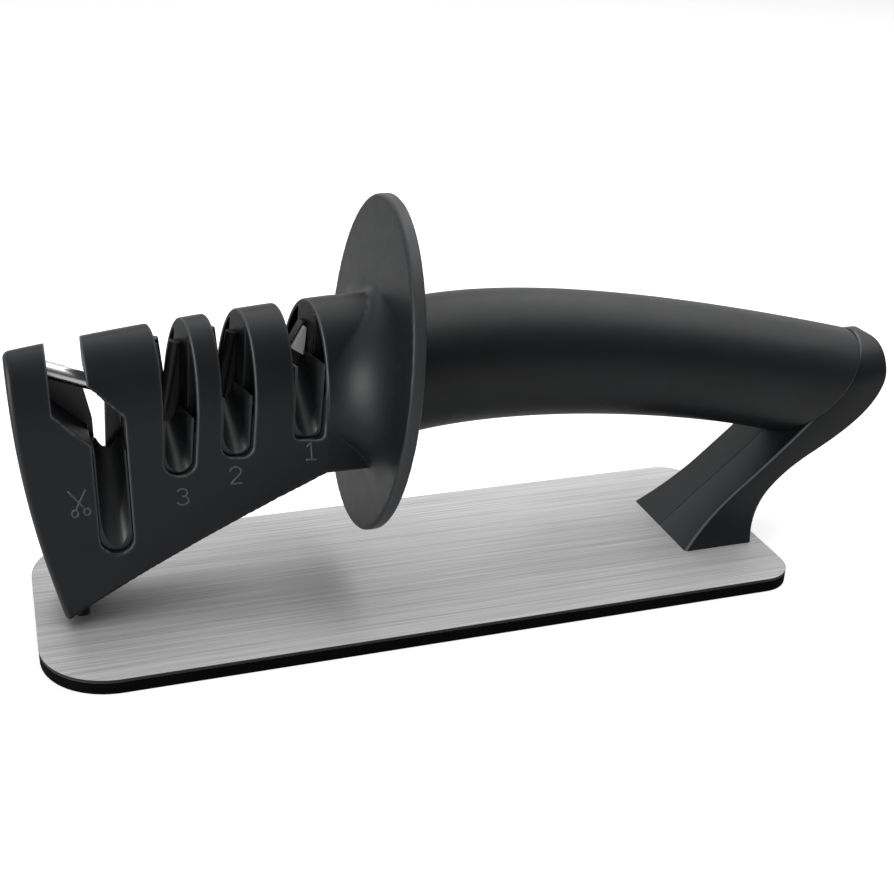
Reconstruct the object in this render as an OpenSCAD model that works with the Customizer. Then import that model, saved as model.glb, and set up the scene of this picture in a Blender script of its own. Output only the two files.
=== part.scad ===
// Manual pull-through knife sharpener: a slotted hood with three knife stages and a scissors stage,
// an oval finger guard, a soft handle and a swept leg, screwed to a steel plate on a rubber pad.
// Millimetres. X runs along the handle with the hood at -X, Y across and Z up.
// The origin is the centre of the pad's underside. Heights named _h are above the plate's top face.

/* [Base] */
// Length of the steel plate
plate_l = 175; // [165:1:200]
// Width of the steel plate
plate_w = 63; // [56:1:80]
// Thickness of the steel plate
plate_t = 0.8; // [0.6:0.1:1.5]
// Corner radius of the plate at the hood's end
front_corner_r = 16; // [8:1:22]
// Corner radius of the plate at the leg's end
rear_corner_r = 8; // [5:1:18]
// Thickness of the rubber pad
pad_t = 2.8; // [2.6:0.1:5]

/* [Hood] */
// How far the hood's top stands past the plate's front edge
hood_overhang = 0.5; // [0:0.5:4]
// Length of the hood from its front to the neck
hood_l = 66; // [64:1:72]
// Height of the hood's top at its front
hood_front_h = 61.2; // [59:0.1:64]
// Height of the hood's top at the neck
hood_neck_h = 67.9; // [66:0.5:72]
// Bow of the hood's top line above a straight one
crown_bow = 0.8; // [0:0.1:1.5]
// Width of the hood at its front
hood_front_w = 16; // [15:0.5:22]
// Width of the hood at the neck
hood_neck_w = 24; // [22:0.5:30]
// Height of the rounded crown of the hood
crown_h = 22; // [18:1:26]
// How far the front face sweeps back from top to toe
front_sweep = 7.5; // [4:0.5:9]
// Rounding of the hood's front edges
front_r = 3; // [1.5:0.5:4]
// Length of the solid toe
toe_l = 6; // [5:0.5:9]
// Height of the skirt's edge at the toe
toe_lift = 1.8; // [1.2:0.2:3]
// Height of the skirt's edge at the neck
skirt_neck_h = 32.5; // [31:0.5:34]
// How far the skirt flares out at its edge
skirt_flare = 2; // [0.5:0.5:4]
// Height over which the skirt flares
skirt_flare_h = 13; // [8:1:14]
// Wall of the hollow skirt
skirt_wall = 2.2; // [1.6:0.1:3]

/* [Finger guard] */
// Length of the neck between the hood and the guard's face
neck_l = 10.2; // [9:0.5:16]
// Width of the oval guard
guard_w = 64.4; // [58:1:76]
// Height of the oval guard
guard_h = 75.2; // [70:1:82]
// Thickness of the guard at its rim
guard_t = 3; // [2.4:0.1:5]
// Height of the guard's centre
guard_mid_h = 51.4; // [49:0.5:54]
// Lean of the guard towards the handle, in degrees
guard_lean = 6.4; // [0:0.2:10]
// Fillet between the neck and the guard's face
guard_fillet = 8; // [4:0.5:8.5]

/* [Knife stages] */
// Width of a knife slot at the hood's crown
slot_w = 6.6; // [6.4:0.1:7.4]
// Width of a knife slot at its foot
slot_foot_w = 6.2; // [5.8:0.1:6.6]
// Turn of the knife slots from square across the hood, in degrees
slot_turn = 13.5; // [0:0.5:15]
// Lean of the knife slots towards the handle, in degrees
slot_lean = 4; // [0:0.5:6]
// Wall of the arches between the slots
arch_wall = 1.6; // [1.4:0.1:2.4]
// Distance of the coarse slot from the neck
stage_one_back = 8.3; // [7.5:0.1:10]
// Distance of the fine slot from the neck
stage_two_back = 23.4; // [22:0.1:24.5]
// Distance of the polishing slot from the neck
stage_three_back = 35.5; // [34.5:0.1:36.5]
// Height of the coarse slot's foot
stage_one_h = 40.1; // [39.5:0.5:43]
// Height of the fine slot's foot
stage_two_h = 37.2; // [34:0.5:40]
// Height of the polishing slot's foot
stage_three_h = 34; // [30:0.5:37]
// Rise of the coarse saddle above its slot's foot
stage_one_rise = 14; // [11:0.5:15]
// Rise of the fine saddle above its slot's foot
stage_two_rise = 11; // [9:0.5:13]
// Rise of the polishing saddle above its slot's foot
stage_three_rise = 10; // [8:0.5:13]
// Diameter of the abrasive rods
rod_d = 2.4; // [2:0.1:2.6]
// Lean of each abrasive rod from upright, in degrees
rod_lean = 9; // [8:1:12]
// Thickness of the web that carries a pair of abrasives
web_t = 2.2; // [2:0.1:2.8]
// Depth of the web's top below the hood's crown
web_drop = 4.4; // [3.5:0.1:6]
// Thickness of a carbide blade
blade_t = 1.6; // [1.2:0.1:2]
// Width of a carbide blade at its foot
blade_w = 2.9; // [2.4:0.1:3.1]
// Length of a carbide blade
blade_l = 6.6; // [6:0.2:8]

/* [Scissors stage] */
// Distance of the upper notch from the hood's front
notch_at = 11.7; // [11.2:0.1:12.4]
// Width of the upper notch
notch_w = 6.8; // [6:0.2:7.4]
// Distance of the lower channel from the hood's front
channel_at = 19; // [18.4:0.2:20]
// Width of the lower channel
channel_w = 7; // [6.4:0.2:7.4]
// Height where the notch steps over to the channel
step_h = 49.5; // [46:0.5:51]
// Height of the channel's foot
channel_h = 17; // [15:0.5:20]
// Rise of the scissors saddle above the channel's foot
channel_rise = 21; // [17:0.5:23]
// Diameter of the scissors rod
scissors_rod_d = 3.4; // [2.6:0.1:3.8]
// Slope of the scissors rod, in degrees
scissors_slope = 22; // [14:1:24]
// Thickness of the scissors bar
scissors_bar_t = 1.6; // [1.2:0.1:2]

/* [Handle] */
// Width of the handle
handle_w = 26; // [24:0.5:31]
// Height of the grip at the guard
grip_guard_tall = 31.5; // [30:0.5:36]
// Height of the grip at its waist
grip_waist_tall = 29.4; // [27:0.1:32]
// Height of the grip at the leg
grip_leg_tall = 26.5; // [25:0.5:28]
// Thickness of the soft layer
grip_t = 3; // [2:0.1:4]
// Height of the handle's middle line at the guard
handle_guard_h = 49; // [47.5:0.5:51]
// Rise of the handle's middle line towards the waist
handle_rise = 8.4; // [5:0.2:9]
// Height of the handle's middle line at the leg
handle_leg_h = 35.7; // [35:0.1:36.5]
// Diameter of the spigot that carries the handle
spigot_d = 16; // [12:0.5:17]

/* [Leg] */
// Distance of the foot from the plate's rear edge
foot_setback = 3; // [1:0.5:8]
// Length of the foot
foot_l = 18.5; // [17:0.5:22]
// Width of the foot
foot_w = 28.6; // [26:0.2:34]
// Width of the leg above the foot
leg_w = 21.4; // [20:0.2:25]
// Height of the leg's tip
leg_h = 49; // [47:0.5:52]
// How far the spine stands behind the foot
leg_sweep = 35; // [32:0.5:37]
// Thickness of the spine at its tip
spine_t = 10; // [8:0.5:11]

/* [Fasteners] */
// Shank diameter of the base screws
screw_d = 2.5; // [2:0.1:3]
// Head diameter of the base screws
screw_head_d = 5; // [4:0.1:6]
// Head height of the base screws
screw_head_t = 1.5; // [1:0.1:1.8]
// Length of the base screws above the plate
screw_l = 9; // [6:0.5:10]
// Distance between the two screws of a pair at the toe
toe_screw_pitch = 7; // [6:0.5:8]
// Distance between the two screws of a pair at the foot
foot_screw_pitch = 15; // [12:0.5:20]
// Diameter of the neck pin and the leg dowels
pin_d = 3; // [2:0.1:3.4]
// Shank diameter of the retaining screws
small_screw_d = 1.8; // [1.6:0.1:2.2]

/* [Hidden] */
$fn = 48;

// Working clearances
fit = 0.15;
bore_fit = 0.05;
reach = 90;

// Base
plate_top = pad_t + plate_t;
front_x = -plate_l / 2;
rear_x = plate_l / 2;

// Hood: u runs from 0 at the front face to 1 at the neck
hood_x = front_x - hood_overhang;
neck_x = hood_x + hood_l;
guard_x = neck_x + neck_l;
guard_z = plate_top + guard_mid_h;
lean_slope = tan(guard_lean);
front_curve = 2.2;
side_steps = 5;
crown_steps = 12;
under_steps = 9;
fillet_steps = 5;
hood_steps = 14;
round_steps = 3;
rim_r = 0.7;
head_half = side_steps + crown_steps;
toe_front_x = hood_x + front_sweep;
skirt_neck_x = leaning(neck_x, plate_top + skirt_neck_h);
skirt_x = toe_front_x + toe_l;
skirt_slope = atan2(skirt_neck_h - toe_lift, skirt_neck_x - toe_front_x);
toe_boss_d = 5.6;
toe_boss_h = 6;

// Cavity under the hood and the plate that closes the holders in
ceiling_rise = 6.4;
cavity_x = skirt_x + 2.5;
cavity_end_x = skirt_neck_x - 1.5;
retainer_t = 1.8;
retainer_boss_d = 5.6;
retainer_boss_drop = 1.5;
small_head_d = 3.6;
small_head_t = 1;
small_screw_l = 8;

// Holders
shank_half = 3.6;
shank_in = 4;
saddle_lip = 1.2;
saddle_edge = 0.5;
saddle_floor = 0.8;
slot_taper_l = 14;
deck_rise = 8;
tunnel_before = 5.2;
tunnel_past_neck = 6;
rod_cross_drop = 11;
rod_tail = 4;
rod_proud = 0.6;
seat = 0.7;
rod_off = web_t / 2 + rod_d / 2 - seat;
blade_off = web_t / 2 + blade_t / 2 - seat;
blade_notch_drop = 4.5;
blade_notch_lean = 30;
blade_at = 1.35;
stages = [
    [neck_x - stage_one_back, plate_top + stage_one_h, stage_one_rise, 1.4],
    [neck_x - stage_two_back, plate_top + stage_two_h, stage_two_rise, 2.4],
    [neck_x - stage_three_back, plate_top + stage_three_h, stage_three_rise, slot_foot_w / 2]
];
channel_x = hood_x + channel_at;
notch_x = hood_x + notch_at;
channel_z = plate_top + channel_h;
step_z = plate_top + step_h;
step_drop = 7;
step_lift = 5.4;
scissors_rod_lift = 5.5;
scissors_rod_seat = 5;
scissors_rod_off = 0.8;
scissors_rod_x = notch_x + scissors_rod_off;
scissors_rod_z = step_z + scissors_rod_lift;
scissors_rod_l = notch_w + 2 * scissors_rod_seat;
scissors_bar_lift = 1;
scissors_bar_reach = 5.2;
scissors_bar_slant = 1.6;
scissors_bar_z = scissors_rod_z + scissors_bar_lift;
scissors_bar_half = 1.4;
scissors_bar_sink = 1.6;
scissors_bar_y = scissors_rod_d / 2 + scissors_bar_t / 2 + 0.3;
scissors_web_y = scissors_rod_d / 2 + fit + web_t / 2;
scissors_web_neck = 1.1;
scissors_web_root = 8;
scissors_web_dip = 1.5;
scissors_gap_w = 2.3;
scissors_gap_flare = 2;

// Handle
handle_x = guard_x + guard_t;
foot_rear_x = rear_x - foot_setback;
spine_x = foot_rear_x + leg_sweep;
handle_end_x = spine_x - 0.7 * spine_t;
handle_bend = 0.28;
handle_mid_x = handle_x + handle_bend * (handle_end_x - handle_x);
grip_steps = 22;
grip_half = 12;
spigot_l = 18;
spigot_z = plate_top + handle_guard_h + 1;
neck_pin_x = handle_x + 9;
tail_w = 8;
tail_tall = 9;
tail_x = spine_x - 0.45 * spine_t;
tail_z = plate_top + handle_leg_h + 3;

// Leg
foot_front_x = foot_rear_x - foot_l;
foot_flare_h = 13;
curve_steps = 14;
tip_over = 0.6;
leg_round_z = plate_top + handle_leg_h + 2;
foot_screw_x = foot_rear_x - 5;
toe_screw_x = toe_front_x + toe_l / 2;
tail_pin_x = tail_x - 4;
foot_pin_x = foot_rear_x + 1;
foot_pin_z = plate_top + 13;
dowel_l = 16;

body_black = [0.10, 0.11, 0.12];

function lerp(a, b, t) = a + (b - a) * t;
function clamp(x) = min(1, max(0, x));
function leaning(x, z) = x + lean_slope * (z - guard_z);

// Points of a quadratic and of a cubic curve at share t
function quad_at(p, t) = lerp(lerp(p[0], p[1], t), lerp(p[1], p[2], t), t);
function cubic_at(p, t) =
    lerp(quad_at([p[0], p[1], p[2]], t), quad_at([p[1], p[2], p[3]], t), t);
function cubic_path(p, steps) = [for (i = [0:steps]) cubic_at(p, i / steps)];

// Skin of rings that run towards +X. Each ring climbs its near side, points 0 to half, comes down the
// far side to point 2*half, and any further points lead back under it.
function cap_faces(k, half, n) =
    let (far = 2 * half - k, above = far - 1)
    k == 0 && n > 2 * half ? [for (j = [n:-1:far]) [1, j % n, j - 1]]
    : k == 0 ? [[0, above, 1]]
    : k == half - 1 ? [[k, far, half]]
    : [[k, far, above], [k, above, k + 1]];
function backward(list) = [for (i = [len(list) - 1:-1:0]) list[i]];
module skin(rings, half) {
    n = len(rings[0]);
    last = (len(rings) - 1) * n;
    sides = [
        for (i = [0:len(rings) - 2], j = [0:n - 1])
            let (a = i * n + j, b = i * n + (j + 1) % n)
            each [[a, b, b + n], [a, b + n, a + n]]
    ];
    front = [for (k = [0:half - 1]) each cap_faces(k, half, n)];
    rear = [for (f = front) backward([for (j = f) j + last])];
    polyhedron([for (r = rings) each r], concat(sides, front, rear));
}

// Closed tube: its rings run out along the outside and come back along the inside
module tube(rings) {
    n = len(rings[0]);
    m = len(rings);
    polyhedron([for (r = rings) each r], [
        for (i = [0:m - 1])
            for (j = [0:n - 1])
                let (a = i * n + j)
                let (b = i * n + (j + 1) % n)
                let (on = ((i + 1) % m - i) * n)
                each [[a, b, b + on], [a, b + on, a + on]]
    ]);
}

// Hood surface
function hood_top(u) = plate_top + lerp(hood_front_h, hood_neck_h, u) + 4 * crown_bow * u * (1 - u);
function skirt_z(u) = plate_top + lerp(toe_lift, skirt_neck_h, u);
function flare_at(up) = skirt_flare * pow(1 - clamp(up / skirt_flare_h), 2);
function front_face_x(z) =
    hood_x + front_sweep * pow(clamp(1 - (z - plate_top) / hood_front_h), front_curve);
function hood_point_x(u, z) = lerp(front_face_x(z), leaning(neck_x, z), u);
function edge_cut(u) =
    let (in = front_r - min(front_r, u * hood_l))
    front_r - sqrt(front_r * front_r - in * in);
function hood_half(u) = lerp(hood_front_w, hood_neck_w, u) / 2;
function hood_ring(u, inset, drop = 0) =
    let (
        top = hood_top(u) - edge_cut(u) * 0.6 - drop,
        low = skirt_z(u),
        half_w = hood_half(u) - edge_cut(u) - inset,
        side = [
            for (k = [0:side_steps - 1])
                let (z = lerp(low, top - crown_h, k / side_steps))
                [half_w + flare_at(z - low), z]
        ],
        crown = [
            for (k = [0:crown_steps])
                let (t = 90 * k / crown_steps)
                [half_w * cos(t), top - crown_h + crown_h * sin(t)]
        ],
        edge = concat(side, crown),
        loop = concat(
            [for (p = edge) [-p[0], p[1]]],
            [for (k = [head_half - 1:-1:0]) edge[k]],
            [for (k = [1:under_steps]) [lerp(1, -1, k / (under_steps + 1)) * edge[0][0], low]]
        )
    )
    [for (p = loop) [hood_point_x(u, p[1]), p[0], p[1]]];
hood_stations = concat(
    [for (i = [0:round_steps]) front_r * (1 - cos(90 * i / round_steps)) / hood_l],
    [for (i = [1:hood_steps]) lerp(front_r / hood_l, 1, i / hood_steps)]
);

// Neck ring grown outwards from the guard's centre, by a distance or all the way to the oval rim less cut
function rim_radius(angle) =
    1 / sqrt(pow(cos(angle) / (guard_w / 2), 2) + pow(sin(angle) / (guard_h / 2), 2));
function grown_ring(x, grow) =
    [for (p = hood_ring(1, 0)) let (
        angle = atan2(p[2] - guard_z, p[1]),
        r = norm([p[1], p[2] - guard_z]) + grow,
        z = guard_z + r * sin(angle)
    ) [leaning(x, z), r * cos(angle), z]];
function rim_ring(x, cut) =
    [for (p = hood_ring(1, 0)) let (
        angle = atan2(p[2] - guard_z, p[1]),
        r = rim_radius(angle) - cut,
        z = guard_z + r * sin(angle)
    ) [leaning(x, z), r * cos(angle), z]];
fillet_rings = [
    for (i = [0:fillet_steps])
        let (t = 90 * i / fillet_steps)
        grown_ring(guard_x - guard_fillet * (1 - sin(t)), guard_fillet * (1 - cos(t)))
];
guard_rings = [
    rim_ring(guard_x, rim_r),
    rim_ring(guard_x + rim_r, 0),
    rim_ring(guard_x + guard_t - rim_r, 0),
    rim_ring(guard_x + guard_t, rim_r)
];

// Handle: its middle line, its half height and the ring that ends on the guard and on the leg's front
handle_line = [
    [handle_x, plate_top + handle_guard_h],
    [handle_mid_x, plate_top + handle_guard_h + handle_rise],
    [handle_end_x, plate_top + handle_leg_h]
];
grip_tall = [grip_guard_tall, 2 * grip_waist_tall - (grip_guard_tall + grip_leg_tall) / 2, grip_leg_tall];
leg_front = [
    [foot_front_x, plate_top],
    [foot_front_x + 0.67 * foot_l, plate_top + 0.245 * leg_h],
    [spine_x - 1.45 * spine_t, plate_top + 0.635 * leg_h],
    [spine_x - spine_t / 2, plate_top + leg_h]
];
leg_rear = [
    [foot_rear_x, plate_top],
    [foot_rear_x + 0.05 * leg_sweep, plate_top + 0.185 * leg_h],
    [foot_rear_x + 0.2 * leg_sweep, plate_top + 0.32 * leg_h],
    [foot_rear_x + 0.47 * leg_sweep, plate_top + 0.43 * leg_h]
];
spine_rear = [
    leg_rear[3],
    2 * leg_rear[3] - leg_rear[2],
    [spine_x, plate_top + 0.66 * leg_h],
    [spine_x, plate_top + 0.85 * leg_h]
];
spine_tip = [
    spine_rear[3],
    [spine_x, plate_top + 0.95 * leg_h],
    [spine_x - 0.2 * spine_t, plate_top + leg_h],
    leg_front[3]
];
leg_front_points = cubic_path(leg_front, 2 * curve_steps);
function leg_front_x(z) = lookup(z, [for (p = leg_front_points) [p[1], p[0]]]);
function handle_ring(t, inset, gap) =
    let (
        mid = quad_at(handle_line, t),
        tall = quad_at(grip_tall, t) / 2 - inset,
        wide = handle_w / 2 - inset,
        blend = t * t * t
    )
    [for (k = [0:2 * grip_half - 1])
        let (
            angle = -90 - 180 * k / grip_half,
            z = mid[1] + tall * sin(angle),
            start = leaning(handle_x, z) - handle_x,
            end = leg_front_x(z) - gap - handle_end_x
        )
        [mid[0] + lerp(start * (1 - t), end, blend), wide * cos(angle), z]];
function handle_rings(inset) = [for (i = [0:grip_steps]) handle_ring(i / grip_steps, inset, fit)];
function moved(ring, x) = [for (p = ring) p + [x, 0, 0]];

// Plate and pad outline, with larger corners at the hood's end
module base_outline() {
    corners = [
        [front_x + front_corner_r, front_corner_r],
        [rear_x - rear_corner_r, rear_corner_r]
    ];
    for (c = corners, side = [-1, 1])
        translate([c[0], side * (plate_w / 2 - c[1])]) circle(c[1]);
    translate([front_x + front_corner_r, -plate_w / 2])
        square([plate_l - front_corner_r - rear_corner_r, plate_w]);
    translate([front_x, front_corner_r - plate_w / 2])
        square([front_corner_r, plate_w - 2 * front_corner_r]);
    translate([rear_x - rear_corner_r, rear_corner_r - plate_w / 2])
        square([rear_corner_r, plate_w - 2 * rear_corner_r]);
}

module at_screws(x, pitch) {
    for (side = [-1, 1]) translate([x, side * pitch / 2, 0]) children();
}
module at_base_screws() {
    at_screws(toe_screw_x, toe_screw_pitch) children();
    at_screws(foot_screw_x, foot_screw_pitch) children();
}
module base_screw() {
    translate([0, 0, pad_t - screw_head_t]) cylinder(h = screw_head_t, d = screw_head_d);
    translate([0, 0, pad_t]) cylinder(h = plate_t + screw_l - screw_d / 2, d = screw_d);
    translate([0, 0, plate_top + screw_l - screw_d / 2]) cylinder(h = screw_d / 2, d1 = screw_d, d2 = 0.4);
}
module screw_pilots(x, pitch) {
    at_screws(x, pitch) translate([0, 0, plate_top - 1]) cylinder(h = screw_l + 1.5, d = screw_d + 2 * bore_fit);
}

// Upright outlines are drawn in X and Z and carried across Y
module across(width) {
    rotate([90, 0, 0]) linear_extrude(height = width, center = true) children();
}
module slot_outline(foot_half, top_half, r) {
    polygon([
        [-foot_half, r], [foot_half, r], [top_half, slot_taper_l], [top_half, reach],
        [-top_half, reach], [-top_half, slot_taper_l]
    ]);
    for (side = [-1, 1]) translate([side * (foot_half - r), r]) circle(r);
    translate([r - foot_half, 0]) square([2 * (foot_half - r) + 0.001, r + 0.001]);
}
// A knife stage turned and leaning about the middle of its slot's foot
module turned(i, lean) {
    foot = [stages[i][0], 0, stages[i][1]];
    translate(foot) rotate([0, lean, slot_turn]) translate(-foot) children();
}
module stage_slot(i, shrink) {
    stage = stages[i];
    turned(i, slot_lean) translate([stage[0], 0, stage[1] + shrink]) across(2 * reach)
        slot_outline(slot_foot_w / 2 - shrink, slot_w / 2 - shrink, min(stage[3], slot_foot_w / 2 - shrink));
}
module scissors_outline(shrink) {
    half = channel_w / 2 - shrink;
    translate([channel_x, channel_z + shrink + half]) circle(half);
    polygon([
        [channel_x - half, channel_z + shrink + half], [channel_x + half, channel_z + shrink + half],
        [channel_x + half, step_z - 1.4], [notch_x + notch_w / 2 + 0.6 - shrink, step_z + step_lift],
        [notch_x + notch_w / 2 - shrink, hood_top(1)], [notch_x - notch_w / 2 + shrink, hood_top(1)],
        [notch_x - notch_w / 2 + shrink, step_z], [channel_x - half, step_z - step_drop]
    ]);
}

// Everything under the sloping ceiling of the hood's cavity, lowered by drop
module below_ceiling(drop) {
    translate([skirt_x, 0, ceiling_z(skirt_x) - drop]) rotate([0, -skirt_slope, 0])
        translate([-reach, -reach, -2 * reach]) cube([3 * reach, 2 * reach, 2 * reach]);
}
function ceiling_z(x) = plate_top + toe_lift + ceiling_rise + tan(skirt_slope) * (x - toe_front_x);
module shank_box(x, half_x, grow) {
    translate([x - half_x - grow, -shank_half - grow, 0])
        cube([2 * (half_x + grow), 2 * (shank_half + grow), ceiling_z(x) + 30]);
}
module shank(x, half_x, top_z, grow) {
    intersection() {
        shank_box(x, half_x, grow);
        translate([0, 0, plate_top]) translate([-reach, -reach, 0]) cube([2 * reach, 2 * reach, top_z - plate_top]);
    }
}
shank_x_half = slot_foot_w / 2 - 0.5;
function holder_x(i) = i < 3 ? stages[i][0] : channel_x;
function holder_foot(i) = i < 3 ? stages[i][1] : channel_z;
function hood_half_at(x) = hood_half((x - hood_x) / hood_l);

module hood_cavity() {
    intersection() {
        translate([0, 0, -0.01]) skin([for (u = hood_stations) hood_ring(u, skirt_wall)], head_half);
        below_ceiling(0);
        translate([cavity_x, -reach, -reach]) cube([cavity_end_x - cavity_x, 2 * reach, 2 * reach]);
    }
}

// Hollow under the arches, open to the knife slots, above a deck that carries the saddles
deck_slope = atan2(stages[0][1] - stages[2][1], stages[0][0] - stages[2][0]);
module arch_tunnel() {
    rings = [for (u = hood_stations) hood_ring(u, arch_wall, arch_wall)];
    far = hood_ring(1, arch_wall, arch_wall);
    intersection() {
        skin(concat(rings, [moved(far, tunnel_past_neck)]), head_half);
        translate([stages[2][0], 0, stages[2][1] + deck_rise]) rotate([0, -deck_slope, 0])
            translate([-tunnel_before, -reach, 0]) cube([reach, 2 * reach, reach]);
    }
}

// Bosses under the toe that stand on the plate around the screws
module toe_bosses() {
    at_screws(toe_screw_x, toe_screw_pitch) translate([0, 0, plate_top]) cylinder(h = toe_boss_h, d = toe_boss_d);
    translate([toe_screw_x - toe_boss_d / 2, -toe_screw_pitch / 2, plate_top])
        cube([toe_boss_d, toe_screw_pitch, toe_boss_h]);
}

module head_housing() {
    color(body_black) difference() {
        union() {
            skin(concat([for (u = hood_stations) hood_ring(u, 0)], fillet_rings, guard_rings), head_half);
            translate([guard_x, 0, spigot_z]) rotate([0, 90, 0]) cylinder(h = guard_t + spigot_l, d = spigot_d);
            toe_bosses();
        }
        hood_cavity();
        arch_tunnel();
        for (i = [0:2]) stage_slot(i, 0);
        across(2 * reach) scissors_outline(0);
        for (i = [0:2]) turned(i, 0) shank(holder_x(i), shank_x_half, holder_foot(i) + shank_in, fit);
        shank(channel_x, shank_x_half, channel_z + shank_in, fit);
        screw_pilots(toe_screw_x, toe_screw_pitch);
        scissors_rod_form(bore_fit);
        scissors_bar_form(bore_fit);
        across_pin(neck_pin_x, spigot_z, handle_w, bore_fit);
    }
}

// Saddle in the foot of a slot: two sloping half-pipes that meet in a ridge over the middle
module saddle_cuts(x, foot, rise, half_w, half_y) {
    slope = atan2(rise - saddle_floor, half_y);
    for (side = [0, 1]) mirror([0, side, 0]) intersection() {
        translate([x, 0, foot + rise]) rotate([slope, 0, 0]) translate([0, 6 - reach / 2, 0]) across(reach) {
            translate([0, half_w]) circle(half_w);
            translate([-half_w, half_w]) square([2 * half_w, reach]);
        }
        translate([x - reach, -reach, 0]) cube([2 * reach, reach, 2 * reach]);
    }
}
module saddle_limits(x, foot, rise, half_y) {
    translate([x - 10, -half_y, foot]) cube([20, 2 * half_y, rise + 2.4]);
}
module holder_pilot(x) {
    translate([x, 0, ceiling_z(x) - 4]) cylinder(h = small_screw_l + 0.8, d = small_screw_d + 2 * bore_fit);
}
function web_top(i) = hood_top((stages[i][0] - hood_x) / hood_l) - web_drop;
module web_blank(i) {
    s = stages[i];
    low = s[1] + s[2] - 3;
    translate([s[0] - 10, -web_t / 2, low]) cube([20, web_t, web_top(i) - low]);
}
module web_notch(i, drop, lean) {
    tall = drop + 1;
    half = tall * tan(lean);
    translate([stages[i][0], 0, web_top(i) - drop]) across(3 * web_t)
        polygon([[0, 0], [half, tall], [-half, tall]]);
}
module stage_holder(i) {
    s = stages[i];
    half_y = hood_half_at(s[0]) - saddle_lip;
    difference() {
        union() {
            difference() {
                union() {
                    intersection() {
                        stage_slot(i, fit);
                        saddle_limits(s[0], s[1], s[2], half_y);
                    }
                    turned(i, 0) shank(s[0], shank_x_half, s[1] + shank_in, 0);
                }
                turned(i, slot_lean) saddle_cuts(s[0], s[1], s[2], slot_foot_w / 2 - saddle_edge, half_y);
            }
            intersection() {
                stage_slot(i, fit);
                turned(i, slot_lean) web_blank(i);
            }
        }
        below_ceiling(0);
        holder_pilot(s[0]);
        if (i == 0) turned(i, slot_lean) web_notch(i, blade_notch_drop, blade_notch_lean);
        if (i > 0) turned(i, slot_lean) web_notch(i, rod_cross_drop, rod_lean);
        if (i == 0) for (side = [-1, 1]) coarse_blade_form(side, bore_fit);
        if (i > 0) for (side = [-1, 1]) stage_rod_form(i, side, bore_fit);
    }
}
module stage_one_holder() {
    color(body_black) stage_holder(0);
}
module stage_two_holder() {
    color(body_black) stage_holder(1);
}
module stage_three_holder() {
    color(body_black) stage_holder(2);
}
// Upright web behind the scissors rod, level with the bar's lower edge and open over the saddle
module scissors_web() {
    foot = channel_z + channel_rise - scissors_web_root;
    ridge = channel_z + channel_rise - scissors_web_dip;
    left = notch_x - notch_w / 2;
    right = channel_x + channel_w / 2;
    top = scissors_bar_z - (scissors_bar_half + 0.4) / cos(scissors_slope);
    gap = channel_x - channel_w / 2 + scissors_web_neck;
    translate([0, scissors_web_y, 0]) across(web_t) difference() {
        intersection() {
            scissors_outline(fit);
            polygon([
                [left, foot], [right, foot], [right, step_z],
                [left, top], [left, step_z - step_drop]
            ]);
        }
        polygon([
            [gap, ridge], [gap + scissors_gap_w, ridge],
            [gap + scissors_gap_w + scissors_gap_flare / 2, step_z + step_lift],
            [gap - scissors_gap_flare, step_z + step_lift], [gap, step_z - step_drop + scissors_web_dip]
        ]);
    }
}
module scissors_holder() {
    half_y = hood_half_at(channel_x) - saddle_lip;
    color(body_black) difference() {
        union() {
            difference() {
                union() {
                    intersection() {
                        across(2 * reach) scissors_outline(fit);
                        saddle_limits(channel_x, channel_z, channel_rise, half_y);
                    }
                    shank(channel_x, shank_x_half, channel_z + shank_in, 0);
                }
                saddle_cuts(channel_x, channel_z, channel_rise, channel_w / 2 - saddle_edge, half_y);
            }
            scissors_web();
        }
        below_ceiling(0);
        holder_pilot(channel_x);
    }
}

// Pair of rods on the two faces of the web, which cross in a V above the saddle
module stage_rod_form(i, side, grow) {
    turned(i, slot_lean) translate([stages[i][0], side * rod_off, web_top(i) - rod_cross_drop])
        rotate([0, -side * rod_lean, 0]) translate([0, 0, -rod_tail - grow])
            cylinder(h = rod_tail + rod_cross_drop + rod_proud + 2 * grow, d = rod_d + 2 * grow);
}
module diamond_rod_left() {
    color([0.28, 0.28, 0.29]) stage_rod_form(1, -1, 0);
}
module diamond_rod_right() {
    color([0.28, 0.28, 0.29]) stage_rod_form(1, 1, 0);
}
module ceramic_rod_left() {
    color([0.45, 0.46, 0.47]) stage_rod_form(2, -1, 0);
}
module ceramic_rod_right() {
    color([0.45, 0.46, 0.47]) stage_rod_form(2, 1, 0);
}

// Carbide blade: a flat bar let into the web's face, narrow at its tip and cut on a slant below
module coarse_blade_form(side, grow) {
    turned(0, slot_lean) translate([stages[0][0], side * blade_off, web_top(0) - 0.8])
        mirror([side > 0 ? 1 : 0, 0, 0]) translate([blade_at, 0, 0]) across(blade_t + 2 * grow) polygon([
            [0.45 * blade_w - grow, grow], [0.62 * blade_w + grow, grow - 0.3],
            [0.5 * blade_w + grow, -blade_l - grow], [-0.5 * blade_w - grow, -0.72 * blade_l - grow]
        ]);
}
module coarse_blade_left() {
    color([0.75, 0.76, 0.78]) coarse_blade_form(-1, 0);
}
module coarse_blade_right() {
    color([0.75, 0.76, 0.78]) coarse_blade_form(1, 0);
}

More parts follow.
